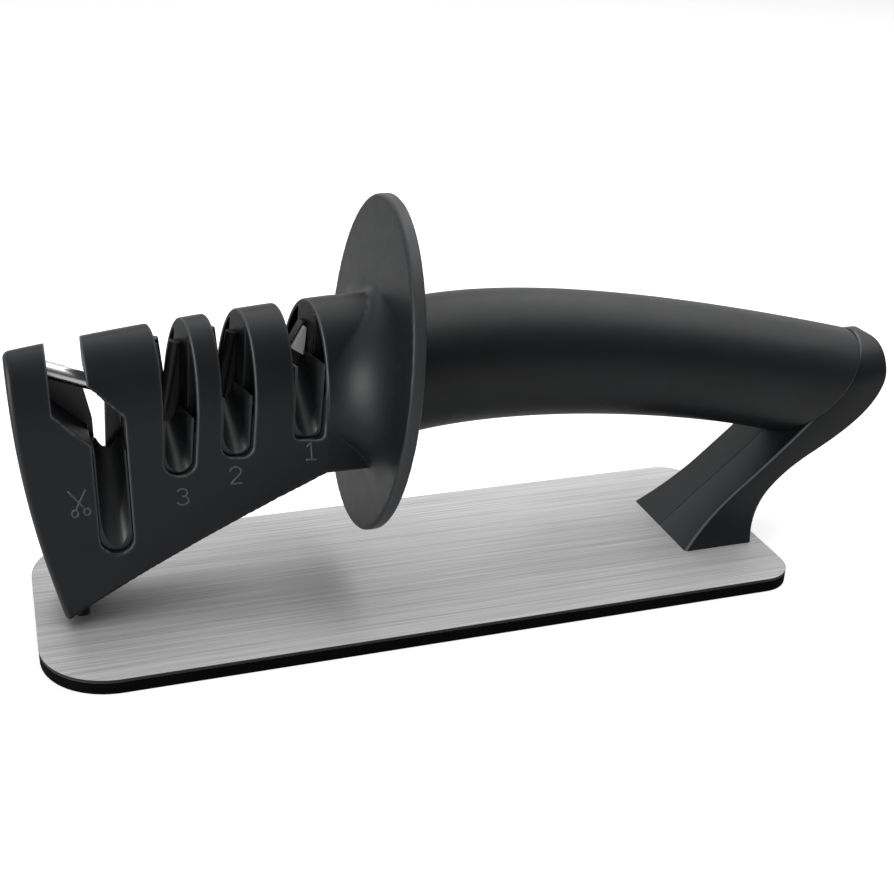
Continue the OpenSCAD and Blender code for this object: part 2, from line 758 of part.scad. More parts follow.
// Scissors rod across the notch, and the flat bar behind it with its end cut on a slant
module scissors_rod_form(grow) {
    translate([scissors_rod_x, 0, scissors_rod_z]) rotate([0, 90 + scissors_slope, 0])
        cylinder(h = scissors_rod_l + 2 * grow, d = scissors_rod_d + 2 * grow, center = true);
}
module scissors_rod() {
    color([0.82, 0.83, 0.85]) scissors_rod_form(0);
}
module scissors_bar_form(grow) {
    half = scissors_bar_half + grow;
    sink = scissors_bar_sink + grow;
    translate([notch_x - notch_w / 2, scissors_bar_y, scissors_bar_z])
        rotate([0, scissors_slope, 0]) across(scissors_bar_t + 2 * grow)
            polygon([
                [-sink, -half], [scissors_bar_reach + grow, -half],
                [scissors_bar_reach - scissors_bar_slant + grow, half], [-sink, half]
            ]);
}
module scissors_bar() {
    color([0.55, 0.56, 0.58]) scissors_bar_form(0);
}

// Sloping plate under the holders, with a boss for each screw
module retainer_bosses(d, drop, h) {
    for (i = [0:3]) translate([holder_x(i), 0, ceiling_z(holder_x(i)) - drop]) cylinder(h = h, d = d);
}
boss_drop = retainer_t / cos(skirt_slope) + retainer_boss_drop;
module retainer_blank() {
    low = [cavity_x + 0.6, hood_half_at(cavity_x) - skirt_wall - 0.4];
    high = [cavity_end_x - 0.6, hood_half_at(cavity_end_x) - skirt_wall - 0.4];
    linear_extrude(height = reach)
        polygon([[low[0], -low[1]], [high[0], -high[1]], [high[0], high[1]], [low[0], low[1]]]);
}
module retaining_plate() {
    color([0.16, 0.16, 0.17]) difference() {
        intersection() {
            retainer_blank();
            below_ceiling(0);
            union() {
                difference() {
                    translate([-reach, -reach, 0]) cube([2 * reach, 2 * reach, reach]);
                    below_ceiling(retainer_t / cos(skirt_slope));
                }
                retainer_bosses(retainer_boss_d, boss_drop, boss_drop);
            }
        }
        retainer_bosses(small_screw_d + 0.4, boss_drop + 1, 2 * boss_drop);
    }
}
module retaining_screws() {
    color([0.6, 0.6, 0.62]) {
        retainer_bosses(small_head_d, boss_drop + small_head_t, small_head_t);
        retainer_bosses(small_screw_d, boss_drop, small_screw_l);
    }
}

// Cross pin along Y
module across_pin(x, z, length, grow) {
    translate([x, 0, z]) rotate([90, 0, 0]) cylinder(h = length, d = pin_d + 2 * grow, center = true);
}
neck_pin_l = handle_w - 2 * grip_t - 2;
module handle_tail(grow) {
    translate([tail_x - 16, -tail_w / 2 - grow, tail_z - tail_tall / 2 - grow])
        cube([16 + grow, tail_w + 2 * grow, tail_tall + 2 * grow]);
}
module handle_core() {
    color([0.14, 0.14, 0.15]) difference() {
        union() {
            skin(handle_rings(grip_t), grip_half);
            handle_tail(0);
        }
        translate([handle_x - 4, 0, spigot_z]) rotate([0, 90, 0])
            cylinder(h = spigot_l + 4.5, d = spigot_d + 2 * bore_fit);
        across_pin(neck_pin_x, spigot_z, handle_w, bore_fit);
        across_pin(tail_pin_x, tail_z, handle_w, bore_fit);
    }
}
module neck_pin() {
    color([0.7, 0.7, 0.72]) across_pin(neck_pin_x, spigot_z, neck_pin_l, 0);
}
module soft_grip() {
    color([0.12, 0.12, 0.13]) tube(concat(handle_rings(0), backward(handle_rings(grip_t))));
}

// Leg: a side outline carried across, kept within a front outline that flares to the foot
function leg_half_w(z) =
    leg_w / 2 + (foot_w - leg_w) / 2 * pow(1 - clamp((z - plate_top) / foot_flare_h), 2);
function leg_round(z) = sqrt(1 - pow(clamp((z - leg_round_z) / (plate_top + leg_h + tip_over - leg_round_z)), 2));
leg_side_points = concat(
    leg_front_points,
    backward(cubic_path(spine_tip, 5)),
    backward(cubic_path(spine_rear, curve_steps)),
    backward(cubic_path(leg_rear, curve_steps))
);
module leg_form() {
    zs = [for (i = [0:30]) plate_top + (leg_h + 0.5) * i / 30];
    halves = [for (z = zs) [leg_half_w(z) * leg_round(z), z]];
    intersection() {
        across(2 * foot_w) polygon(leg_side_points);
        rotate([90, 0, 90]) translate([0, 0, foot_front_x - 1]) linear_extrude(height = reach)
            polygon(concat(halves, backward([for (p = halves) [-p[0], p[1]]])));
    }
}
module leg_half(side) {
    difference() {
        intersection() {
            leg_form();
            translate([0, side > 0 ? 0 : -reach, 0]) translate([0, 0, -reach]) cube([2 * reach, reach, 3 * reach]);
        }
        handle_tail(fit);
        across_pin(tail_pin_x, tail_z, dowel_l, bore_fit);
        across_pin(foot_pin_x, foot_pin_z, dowel_l, bore_fit);
        screw_pilots(foot_screw_x, foot_screw_pitch);
    }
}
module leg_left_half() {
    color(body_black) leg_half(1);
}
module leg_right_half() {
    color(body_black) leg_half(-1);
}
module leg_dowels() {
    color([0.7, 0.7, 0.72]) {
        across_pin(tail_pin_x, tail_z, dowel_l - 0.4, 0);
        across_pin(foot_pin_x, foot_pin_z, dowel_l - 0.4, 0);
    }
}

module anti_slip_pad() {
    color([0.03, 0.03, 0.03]) difference() {
        linear_extrude(height = pad_t) base_outline();
        at_base_screws() translate([0, 0, pad_t - screw_head_t - 0.2])
            cylinder(h = screw_head_t + 1, d = screw_head_d + 0.4);
    }
}
module base_plate() {
    color([0.72, 0.72, 0.72]) difference() {
        translate([0, 0, pad_t]) linear_extrude(height = plate_t) base_outline();
        at_base_screws() translate([0, 0, pad_t - 1]) cylinder(h = plate_t + 2, d = screw_d + 0.4);
    }
}
module toe_screws() {
    color([0.7, 0.7, 0.72]) at_screws(toe_screw_x, toe_screw_pitch) base_screw();
}
module foot_screws() {
    color([0.7, 0.7, 0.72]) at_screws(foot_screw_x, foot_screw_pitch) base_screw();
}

anti_slip_pad();
base_plate();
toe_screws();
foot_screws();
head_housing();
stage_one_holder();
stage_two_holder();
stage_three_holder();
scissors_holder();
coarse_blade_left();
coarse_blade_right();
diamond_rod_left();
diamond_rod_right();
ceramic_rod_left();
ceramic_rod_right();
scissors_rod();
scissors_bar();
retaining_plate();
retaining_screws();
handle_core();
neck_pin();
soft_grip();
leg_left_half();
leg_right_half();
leg_dowels();
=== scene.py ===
import math

import bpy
import numpy as np
from mathutils import Matrix, Vector


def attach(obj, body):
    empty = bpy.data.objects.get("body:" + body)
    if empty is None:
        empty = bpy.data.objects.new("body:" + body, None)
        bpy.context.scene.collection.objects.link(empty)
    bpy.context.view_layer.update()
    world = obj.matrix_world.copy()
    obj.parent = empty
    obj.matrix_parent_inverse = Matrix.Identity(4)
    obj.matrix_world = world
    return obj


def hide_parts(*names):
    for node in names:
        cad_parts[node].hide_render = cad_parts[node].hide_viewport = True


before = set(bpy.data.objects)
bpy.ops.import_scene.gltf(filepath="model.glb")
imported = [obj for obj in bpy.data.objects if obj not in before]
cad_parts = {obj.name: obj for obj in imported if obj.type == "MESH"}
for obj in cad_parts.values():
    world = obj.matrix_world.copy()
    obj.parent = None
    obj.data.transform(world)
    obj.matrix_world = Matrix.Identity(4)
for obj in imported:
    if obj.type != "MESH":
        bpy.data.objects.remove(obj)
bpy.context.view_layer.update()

# Anti-slip pad: a sheet of black rubber glued under the steel plate, cut to the plate's outline.
# Its cut edge is soft and the sheet has a fine dull grain. Sizes here and below are millimetres.
METRE = 0.001
plate_l, plate_w = 175.0, 63.0
front_corner_r, rear_corner_r = 16.0, 8.0
front_x, rear_x = -plate_l / 2, plate_l / 2
pad_t, plate_t = 2.8, 0.8
plate_top = pad_t + plate_t
corner_steps = 20


def base_loop(inset):
    """The rounded outline of the base as a closed loop, drawn in by inset.

    Four corner centres, each with a quarter turn of points at its radius less inset.
    """
    centre = np.array([
        [front_x + front_corner_r, front_corner_r - plate_w / 2],
        [rear_x - rear_corner_r, rear_corner_r - plate_w / 2],
        [rear_x - rear_corner_r, plate_w / 2 - rear_corner_r],
        [front_x + front_corner_r, plate_w / 2 - front_corner_r],
    ])
    radius = np.array([front_corner_r, rear_corner_r, rear_corner_r, front_corner_r]) - inset
    turn = np.radians(np.array([180, 270, 0, 90])[:, None] + np.linspace(0, 90, corner_steps + 1))
    ring = np.stack([np.cos(turn), np.sin(turn)], -1) * radius[:, None, None]
    return (centre[:, None] + ring).reshape(-1, 2)


def ring_faces(rings, around, wrapped=False):
    """Quads between neighbouring rings of a stack, each ring a closed loop of that many points.

    A wrapped stack also joins its last ring to its first.
    """
    ring, step = np.meshgrid(np.arange(rings if wrapped else rings - 1), np.arange(around), indexing="ij")
    here, above, beside = ring * around, (ring + 1) % rings * around, (step + 1) % around
    return np.stack([here + step, here + beside, above + beside, above + step], -1).reshape(-1, 4)


def closed_stack(rings, around):
    """Faces of a stack of rings, with one flat face at each end."""
    last = (rings - 1) * around
    ends = [list(range(around))[::-1], list(range(last, last + around))]
    return ring_faces(rings, around).tolist() + ends


def carried(profile):
    """A profile of (inset, height) pairs carried round the base outline and closed by two flat faces."""
    loops = [np.column_stack([base_loop(inset), np.full(4 * (corner_steps + 1), z)]) for inset, z in profile]
    return np.concatenate(loops), closed_stack(len(loops), len(loops[0]))


def rounded_edge(low, high, r, steps=4):
    """Profile of a sheet's edge from low to high, with a quarter round of radius r at each corner."""
    t = np.linspace(0, math.pi / 2, steps + 1)
    below = np.column_stack([r - r * np.sin(t), low + r - r * np.cos(t)])
    above = np.column_stack([r - r * np.cos(t), high - r + r * np.sin(t)])
    return np.concatenate([below, above])


def add_piece(name, points, faces, nodes, material, normals=None, crease=40, rim=None):
    """A mesh piece from points in millimetres, which rides on the body and stands for those CAD nodes.

    The rim attribute, where given, says how close each point is to a moulded edge, from 0 to 1. The finishes
    paint a highlight there on the mouldings and a darker grey on the plate.
    """
    mesh = bpy.data.meshes.new(name)
    corners = faces if isinstance(faces, list) else faces.tolist()
    mesh.from_pydata((np.asarray(points) * METRE).tolist(), [], corners)
    mesh.shade_smooth()
    if normals is None:
        mesh.set_sharp_from_angle(angle=math.radians(crease))
    else:
        mesh.normals_split_custom_set_from_vertices(normals.tolist())
    if rim is not None:
        mesh.attributes.new("rim", "FLOAT", "POINT").data.foreach_set("value", np.asarray(rim, np.float32))
    mesh.materials.append(material)
    piece = bpy.data.objects.new(name, mesh)
    bpy.context.scene.collection.objects.link(piece)
    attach(piece, "root")
    if nodes:
        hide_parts(*nodes)
    return piece


def new_finish(name, **sockets):
    """A material with one Principled shader, whose constant sockets are set directly."""
    material = bpy.data.materials.new(name)
    material.use_nodes = True
    shader = material.node_tree.nodes["Principled BSDF"]
    for socket, value in sockets.items():
        shader.inputs[socket.replace("_", " ")].default_value = value
    return material


def add_node(material, kind, inputs=None, **settings):
    """A node of that kind with its settings, whose inputs are values or other nodes' outputs."""
    node = material.node_tree.nodes.new(kind)
    for key, value in settings.items():
        setattr(node, key, value)
    for key, value in (inputs or {}).items():
        if isinstance(value, bpy.types.NodeSocket):
            material.node_tree.links.new(value, node.inputs[key])
        else:
            node.inputs[key].default_value = value
    return node


def feed(material, **sockets):
    """Links outputs to the Principled shader's sockets."""
    shader = material.node_tree.nodes["Principled BSDF"]
    for socket, output in sockets.items():
        material.node_tree.links.new(output, shader.inputs[socket.replace("_", " ")])


def grain(material, scale, detail=3.0, stretch=(1, 1, 1)):
    """Noise on Object coordinates, stretched along the axes, as an output from 0 to 1."""
    place = add_node(material, "ShaderNodeTexCoord")
    sized = add_node(material, "ShaderNodeMapping", {"Vector": place.outputs["Object"], "Scale": stretch})
    noise = add_node(material, "ShaderNodeTexNoise", {
        "Vector": sized.outputs["Vector"], "Scale": scale, "Detail": detail, "Roughness": 0.55})
    return noise.outputs["Fac"]


def between(material, share, low, high):
    """A number that goes from low to high as share goes from 0 to 1."""
    spread = add_node(material, "ShaderNodeMapRange", {"Value": share, "To Min": low, "To Max": high})
    return spread.outputs["Result"]


def tinted(material, share, dark, light):
    """A colour that goes from dark to light as share goes from 0.3 to 0.7, the range of the noise."""
    ramp = add_node(material, "ShaderNodeValToRGB", {"Fac": share})
    ramp.color_ramp.elements[0].position, ramp.color_ramp.elements[1].position = 0.3, 0.7
    ramp.color_ramp.elements[0].color, ramp.color_ramp.elements[1].color = (*dark, 1), (*light, 1)
    return ramp.outputs["Color"]


def overlaid(material, share, under, over):
    """A colour that goes from the output under to the fixed colour over as share goes from 0 to 1."""
    mix = add_node(material, "ShaderNodeMix", {"Factor": share, 6: under, 7: (*over, 1)}, data_type="RGBA")
    return mix.outputs[2]


def bumped(material, height, strength, depth):
    """Surface normals tilted by a height map, depth in metres."""
    bump = add_node(material, "ShaderNodeBump", {"Height": height, "Strength": strength, "Distance": depth})
    return bump.outputs["Normal"]


rubber_dark, rubber_light = (0.0015, 0.0015, 0.0015), (0.003, 0.003, 0.003)
pad_edge_r = 0.4
pad_rubber = new_finish("pad_rubber", Specular_IOR_Level=0.03)
pad_grain = grain(pad_rubber, 900)
feed(pad_rubber,
     Base_Color=tinted(pad_rubber, grain(pad_rubber, 60), rubber_dark, rubber_light),
     Roughness=between(pad_rubber, pad_grain, 0.6, 0.8),
     Normal=bumped(pad_rubber, pad_grain, 0.25, 0.0002))
pad_points, pad_faces = carried(rounded_edge(0, pad_t, pad_edge_r))
add_piece("pad_sheet", pad_points, pad_faces, ["anti_slip_pad"], pad_rubber)

# Base plate: 0.8 mm stainless sheet, punched out and brushed along its length.
# The long scratches spread reflections crosswise, and the edge is coloured a darker grey and slightly
# rounded.
steel_dark, steel_light, dark_edge_grey = (0.33, 0.33, 0.33), (0.58, 0.58, 0.577), (0.05, 0.05, 0.05)
plate_edge_r, uv_per_mm = 0.1, 0.01
plate_steel = new_finish("plate_steel", Metallic=1.0, Anisotropic=0.7)
streak = grain(plate_steel, 1.0, 2.0, (30, 4200, 4200))
long_streak = grain(plate_steel, 1.0, 2.0, (10, 1500, 1500))
cloud = grain(plate_steel, 22, 2.0)
brushed = add_node(plate_steel, "ShaderNodeMix", {"Factor": 0.4, "A": streak, "B": long_streak})
direction = add_node(plate_steel, "ShaderNodeTangent", direction_type="UV_MAP", uv_map="crosswise")
cut_edge = add_node(plate_steel, "ShaderNodeAttribute", attribute_name="rim")
sheet_grey = tinted(plate_steel, brushed.outputs["Result"], steel_dark, steel_light)
feed(plate_steel,
     Base_Color=overlaid(plate_steel, cut_edge.outputs["Fac"], sheet_grey, dark_edge_grey),
     Roughness=between(plate_steel, cloud, 0.56, 0.7),
     Normal=bumped(plate_steel, brushed.outputs["Result"], 0.12, 0.00004),
     Tangent=direction.outputs["Tangent"])
plate_points, plate_faces = carried(rounded_edge(pad_t, plate_top, plate_edge_r))
# Share of the dark edge colour at each loop of the edge's profile: full up the side, part way round the two
# rounded corners, none on the faces.
darkened_up_the_edge = [0, 0, 0.5, 1, 1, 1, 1, 0.4, 0, 0]
plate = add_piece("plate_sheet", plate_points, plate_faces, ["base_plate"], plate_steel,
                  rim=np.repeat(darkened_up_the_edge, 4 * (corner_steps + 1)))
corner_of_loop = np.empty(len(plate.data.loops), int)
plate.data.loops.foreach_get("vertex_index", corner_of_loop)
crosswise = plate.data.uv_layers.new(name="crosswise")
crosswise.data.foreach_set("uv", (plate_points[corner_of_loop][:, 1::-1] * uv_per_mm).ravel())

# Head housing: one black moulding with a satin skin, made of the narrow hood, its neck and the oval finger
# guard, with a broad flare between the last two. Three turned knife slots cross the arches, which are hollow
# on either side of a middle rib, and a stepped slot takes scissors.
hood_x, hood_l = front_x - 0.5, 66.0
neck_x = hood_x + hood_l
guard_x = neck_x + 10.2
guard_half_w, guard_half_h, guard_t, guard_z = 32.2, 37.6, 3.0, plate_top + 51.4
guard_lean = math.radians(6.4)
rim_r = 0.7
flare_side_r, flare_end_r, flare_power, flare_sink, flare_past = 16.0, 2.5, 1.5, 0.06, 0.5
neck_belly = 15.0
hood_front_h, hood_neck_h, crown_bow, crown_h = 61.2, 67.9, 0.8, 22.0
hood_front_half, hood_neck_half = 8.0, 12.0
tiny = 1e-6
front_sweep, front_curve, front_r = 7.5, 2.2, 1.3
toe_lift, skirt_neck_h, skirt_flare, skirt_flare_h, skirt_wall = 1.8, 32.5, 2.0, 13.0, 2.2
skirt_r = 0.7
toe_front_x = hood_x + front_sweep
toe_screw_x, toe_screw_half, toe_boss_r, toe_boss_h = toe_front_x + 3, 3.5, 1.7, 6.0
ceiling_rise, cavity_edge_r, arch_edge_r = 6.4, 0.3, 0.35
skirt_neck_x = neck_x + math.tan(guard_lean) * (plate_top + skirt_neck_h - guard_z)
skirt_slope = math.atan2(skirt_neck_h - toe_lift, skirt_neck_x - toe_front_x)
cavity_x, cavity_end_x = toe_front_x + 8.5, skirt_neck_x - 1.5
arch_wall, slot_rim = 1.0, 0.3
slot_turn, slot_lean = math.radians(13.5), math.radians(4)
slot_rake = math.tan(slot_lean) / math.cos(slot_turn)
slot_foot_half, slot_top_half, slot_taper_l = 3.1, 3.3, 14.0
slot_feet = np.array([
    [hood_x + 57.7, plate_top + 40.1, 1.4],
    [hood_x + 42.6, plate_top + 37.2, 2.4],
    [hood_x + 30.5, plate_top + 34.0, 3.1],
])
deck_rise, tunnel_before, tunnel_past_neck, rib_half = 8.0, 5.2, 6.0, 4.0
notch_x, notch_half, channel_x, channel_half = hood_x + 11.7, 3.4, hood_x + 19, 3.5
channel_z, step_z, step_drop, step_lift = plate_top + 17, plate_top + 49.5, 7.0, 5.4
step_dip, notch_ease, notch_open_z = 1.4, 0.6, plate_top + 75
spigot_r, spigot_l, spigot_z = 8.0, 18.0, plate_top + 50


def round_max(a, b, r):
    """Overlap of two solids given by distance, with their common edge rounded to radius r."""
    return np.minimum(-r, np.maximum(a, b)) + np.hypot(np.maximum(a + r, 0), np.maximum(b + r, 0))


def leaning(x, z):
    """X at height z of an upright face that leans towards the handle as the guard does."""
    return x + math.tan(guard_lean) * (z - guard_z)


def hood_share(x, z):
    """Share of the way from the swept front face, 0, to the neck, 1, with that face's X and slope."""
    up = np.clip(1 - (z - plate_top) / hood_front_h, 0, 1)
    front = hood_x + front_sweep * up ** front_curve
    slope = front_sweep * front_curve / hood_front_h * up ** (front_curve - 1)
    return np.clip((x - front) / (leaning(neck_x, z) - front), 0, 1), front, slope


def hood_skirt_z(u):
    """Height of the skirt's edge, a straight line from the toe to the neck."""
    return plate_top + toe_lift + (skirt_neck_h - toe_lift) * u


def oval_distance(y, up, half_w, half_h):
    """Distance to an oval, close to its rim: how far its scale is from 1, over the slope of that scale."""
    size = np.sqrt((y / half_w) ** 2 + (up / half_h) ** 2)
    steep = np.sqrt((y / half_w ** 2) ** 2 + (up / half_h ** 2) ** 2)
    return (size - 1) * size / np.maximum(steep, tiny)


def hood_section(y, z, u, wall):
    """Distance to the hood's cross section at share u, drawn in by wall.

    Upright sides under an elliptical crown, less a flare that grows as a square towards the skirt's edge.
    """
    top = plate_top + hood_front_h + (hood_neck_h - hood_front_h) * u + 4 * crown_bow * u * (1 - u) - wall
    half = hood_front_half + (hood_neck_half - hood_front_half) * u - wall
    flare = skirt_flare * (1 - np.clip((z - hood_skirt_z(u)) / skirt_flare_h, 0, 1)) ** 2
    return oval_distance(y, np.maximum(z - top + crown_h, 0), half, crown_h) - flare


def guard_faces(x, y, z):
    """Distances to the leaning guard's oval rim and to its two flat faces."""
    oval = oval_distance(y, z - guard_z, guard_half_w, guard_half_h)
    return oval, (np.abs(x - leaning(guard_x + guard_t / 2, z)) - guard_t / 2) * math.cos(guard_lean)


def knife_slot(x, y, z, foot_x, foot_z, r):
    """Distance to a knife slot: a tapering slit with a rounded foot, turned and leaning about that foot."""
    side = math.cos(slot_turn) * (x - foot_x) + math.sin(slot_turn) * y
    off = math.cos(slot_lean) * side - math.sin(slot_lean) * (z - foot_z)
    up = math.sin(slot_lean) * side + math.cos(slot_lean) * (z - foot_z)
    half = slot_foot_half + (slot_top_half - slot_foot_half) * np.clip(up / slot_taper_l, 0, 1)
    past, under = np.abs(off) - half + r, r - up
    return np.hypot(np.maximum(past, 0), np.maximum(under, 0)) + np.minimum(np.maximum(past, under), 0) - r


def scissors_slot(x, z):
    """Distance to the stepped slot's outline: the nearest edge of a polygon, and a round foot below it."""
    corner = np.array([
        [channel_x - channel_half, channel_z + channel_half],
        [channel_x + channel_half, channel_z + channel_half],
        [channel_x + channel_half, step_z - step_dip],
        [notch_x + notch_half + notch_ease, step_z + step_lift],
        [notch_x + notch_half, notch_open_z],
        [notch_x - notch_half, notch_open_z],
        [notch_x - notch_half, step_z],
        [channel_x - channel_half, step_z - step_drop],
    ])
    nearest, inside = np.full(x.shape, np.inf), np.zeros(x.shape, bool)
    for (ax, az), (bx, bz) in zip(corner, np.roll(corner, -1, 0)):
        length_squared = (bx - ax) ** 2 + (bz - az) ** 2
        share = np.clip(((x - ax) * (bx - ax) + (z - az) * (bz - az)) / length_squared, 0, 1)
        nearest = np.minimum(nearest, np.hypot(x - ax - share * (bx - ax), z - az - share * (bz - az)))
        if az != bz:
            inside ^= ((az > z) != (bz > z)) & (x < ax + (z - az) * (bx - ax) / (bz - az))
    foot = np.hypot(x - channel_x, z - channel_z - channel_half) - channel_half
    return np.minimum(np.where(inside, -nearest, nearest), foot)


def neck_flare(y, z, ahead):
    """Distance to the flare from the neck to the guard, where ahead is how far a point lies before the guard.

    A hollow quarter round between the neck's oval and the guard's face. Its radius grows from the end radius
    over the crown and under the belly to the side radius at the flanks.
    """
    up = z - plate_top - hood_neck_h + crown_h
    neck_h = np.where(up > 0, crown_h, neck_belly)
    neck = oval_distance(y, up, hood_neck_half, neck_h) + flare_sink
    across, along = (y / hood_neck_half) ** 2, (up / neck_h) ** 2
    r = flare_end_r + (flare_side_r - flare_end_r) * (across / (across + along + tiny)) ** flare_power
    flare = r - np.hypot(np.maximum(r - neck, 0), np.maximum(r - ahead, 0))
    return np.maximum(np.maximum(flare, -ahead - guard_t / 2), np.maximum(neck - flare_past, ahead) - r)


def head_fixings(x, y, z):
    """Distance to what holds the head: a round spigot at the handle and an oblong boss for the toe screws."""
    spigot = np.maximum(guard_x - x, x - guard_x - guard_t - spigot_l)
    spigot = np.maximum(np.hypot(y, z - spigot_z) - spigot_r, spigot)
    boss = np.hypot(x - toe_screw_x, np.maximum(np.abs(y) - toe_screw_half, 0)) - toe_boss_r
    return np.minimum(spigot, np.maximum(boss, np.maximum(plate_top - z, z - plate_top - toe_boss_h)))


def skirt_cavity(x, y, z, u):
    """Distance to the skirt's hollow: the hood drawn in by its wall, under a ceiling parallel to its edge."""
    ceiling = plate_top + toe_lift + ceiling_rise + math.tan(skirt_slope) * (x - toe_front_x)
    cavity = np.maximum(hood_section(y, z, u, skirt_wall), (z - ceiling) * math.cos(skirt_slope))
    return np.maximum(cavity, np.maximum(cavity_x - x, x - cavity_end_x))


def arch_hollow(x, y, z, u):
    """Distance to the hollow under the arches, on either side of the rib.

    The hood drawn in by the arch's wall, above a deck along the slots' feet, from before the third slot to
    past the neck.
    """
    tilt = math.atan2(slot_feet[0, 1] - slot_feet[2, 1], slot_feet[0, 0] - slot_feet[2, 0])
    run, rise = x - slot_feet[2, 0], z - slot_feet[2, 1] - deck_rise
    hollow = np.maximum(hood_section(y, z, u, arch_wall), math.sin(tilt) * run - math.cos(tilt) * rise)
    hollow = np.maximum(hollow, -tunnel_before - math.cos(tilt) * run - math.sin(tilt) * rise)
    return np.maximum(hollow, np.maximum(x - leaning(neck_x, z) - tunnel_past_neck, rib_half - np.abs(y)))


def head_distance(x, y, z):
    """Signed distance to the whole moulding, below zero in the plastic.

    Hood, flare, guard and fixings are joined, then the skirt's cavity, the hollow under the arches and the
    slots are cut.
    """
    u, front, slope = hood_share(x, z)
    hood = hood_section(y, z, u, 0)
    hood = round_max(hood, (hood_skirt_z(u) - z) * math.cos(skirt_slope), skirt_r)
    hood = round_max(hood, (front - x) / np.sqrt(1 + slope ** 2), front_r)
    ahead = (leaning(guard_x, z) - x) * math.cos(guard_lean)
    hood = np.maximum(hood, -ahead - guard_t / 2)
    head = np.minimum(round_max(*guard_faces(x, y, z), rim_r), hood)
    head = np.minimum(np.minimum(head, neck_flare(y, z, ahead)), head_fixings(x, y, z))
    head = round_max(head, -skirt_cavity(x, y, z, u), cavity_edge_r)
    head = round_max(head, -arch_hollow(x, y, z, u), arch_edge_r)
    for foot_x, foot_z, r in slot_feet:
        head = round_max(head, -knife_slot(x, y, z, foot_x, foot_z, r), slot_rim)
    return round_max(head, -scissors_slot(x, z), slot_rim)


graded_steps, graded_ease = 6000, 2


def graded(start, stop, coarse, zones):
    """Grid lines from start to stop, coarse apart, and closer in each zone of (low, high, step).

    The lines are even steps of the running sum of one over the wanted spacing.
    """
    t = np.linspace(start, stop, graded_steps)
    step = np.full_like(t, coarse)
    for low, high, fine in zones:
        away = np.maximum(np.maximum(low - t, t - high), 0)
        step = np.minimum(step, fine + (coarse - fine) * np.clip(away / graded_ease, 0, 1))
    count = np.concatenate([[0], np.cumsum((t[1] - t[0]) / step[1:])])
    return np.interp(np.linspace(0, count[-1], int(count[-1]) + 1), count, t)


slant_stations = [-65.4, -60.4, -25.2, -13.0]


def slanted(along, y, z):
    """Grid line along X moved so that it lies in the slots' walls and in the guard's faces.

    The lean with height and the turn across Y change by straight blends between four stations: behind the
    scissors slot, before the third knife slot, behind the first one and before the guard.
    """
    lean = np.interp(along, slant_stations, [0, slot_rake, slot_rake, math.tan(guard_lean)])
    turn = np.interp(along, slant_stations, [0, -math.tan(slot_turn), -math.tan(slot_turn), 0])
    return along + lean * (z - guard_z) + turn * y


skin_passes, least_steepness, longest_move = 4, 0.2, 0.3


def net_surface(distance, lines, warp):
    """Skin of the solid where distance is below zero, on a grid of lines moved by warp.

    One point in each cell that the skin crosses, at the mean of its edges' crossings, and one quad round
    each crossed edge. The points are then brought onto the skin along the slope of the distance.
    """
    along, y, z = np.meshgrid(*lines, indexing="ij")
    value = distance(warp(along, y, z), y, z)
    inside, shape = value < 0, np.array(value.shape) - 1
    cells, places = [], []
    for axis in range(3):
        b, c = (axis + 1) % 3, (axis + 2) % 3
        low = tuple(slice(None, -1) if k == axis else slice(None) for k in range(3))
        high = tuple(slice(1, None) if k == axis else slice(None) for k in range(3))
        edge = np.argwhere(inside[low] != inside[high])
        v0, v1 = value[low][tuple(edge.T)], value[high][tuple(edge.T)]
        place = edge.astype(float)
        place[:, axis] += v0 / (v0 - v1)
        around = np.repeat(edge[:, None], 4, 1)
        around[:, [0, 3], b] -= 1
        around[:, [0, 1], c] -= 1
        outward_back = v0 > 0
        around[outward_back] = around[outward_back][:, ::-1]
        cells.append(around)
        places.append(np.repeat(place[:, None], 4, 1))
    cells = np.ravel_multi_index(np.concatenate(cells).reshape(-1, 3).T, shape)
    places = np.concatenate(places).reshape(-1, 3)
    _, owner = np.unique(cells, return_inverse=True)
    count = np.bincount(owner)
    mean = [np.bincount(owner, places[:, k]) / count for k in range(3)]
    along, y, z = [np.interp(mean[k], np.arange(len(lines[k])), lines[k]) for k in range(3)]
    points = np.stack([warp(along, y, z), y, z], -1)
    for _ in range(skin_passes):
        slope = slope_of(distance, points)
        steepness = np.maximum((slope ** 2).sum(1, keepdims=True), least_steepness)
        move = distance(*points.T)[:, None] * slope / steepness
        points = points - np.clip(move, -longest_move, longest_move)
    slope = slope_of(distance, points)
    return points, owner.reshape(-1, 4), slope / np.linalg.norm(slope, axis=1, keepdims=True)


def slope_of(distance, points, step=0.02):
    """Slope of the distance at points, from its change over a small step to either side along each axis."""
    shift = np.eye(3) * step
    return np.stack([distance(*(points + s).T) - distance(*(points - s).T) for s in shift], -1) / (2 * step)


# Grid lines of the head, close together at the slots' walls, the front, the guard, the feet and the crown.
slot_lines = slot_feet[:, 0] + slot_rake * (guard_z - slot_feet[:, 1])
wall_off = slot_top_half / math.cos(slot_turn)
walls = [w + side * wall_off for w in slot_lines for side in (-1, 1)]
walls += [notch_x - notch_half, notch_x + notch_half, channel_x - channel_half, channel_x + channel_half]
wall_zones = [(w - 0.6, w + 0.6, 0.2) for w in walls]
front_zone, guard_zone, hood_zone = (-88.6, -85.2, 0.45), (-12.2, -8.4, 0.4), (-13, 13, 0.55)
feet_zone, crown_zone = (37, 46, 0.36), (62, 72, 0.45)
head_lines = [
    graded(-89.2, 11.4, 0.85, wall_zones + [front_zone, guard_zone]),
    graded(-33.2, 33.2, 1.1, [hood_zone]),
    graded(3.0, 93.4, 0.85, [feet_zone, crown_zone]),
]
head_points, head_faces, head_normals = net_surface(head_distance, head_lines, slanted)
# Paler grey painted along the mouldings' edges as a highlight.
edge_highlight_grey = (0.095, 0.1, 0.108)


def edge_share(a, b, width=0.26):
    """Closeness to the edge where two faces meet: a bell curve of the distances to both."""
    return np.exp(-(a / width) ** 2 - (b / width) ** 2)


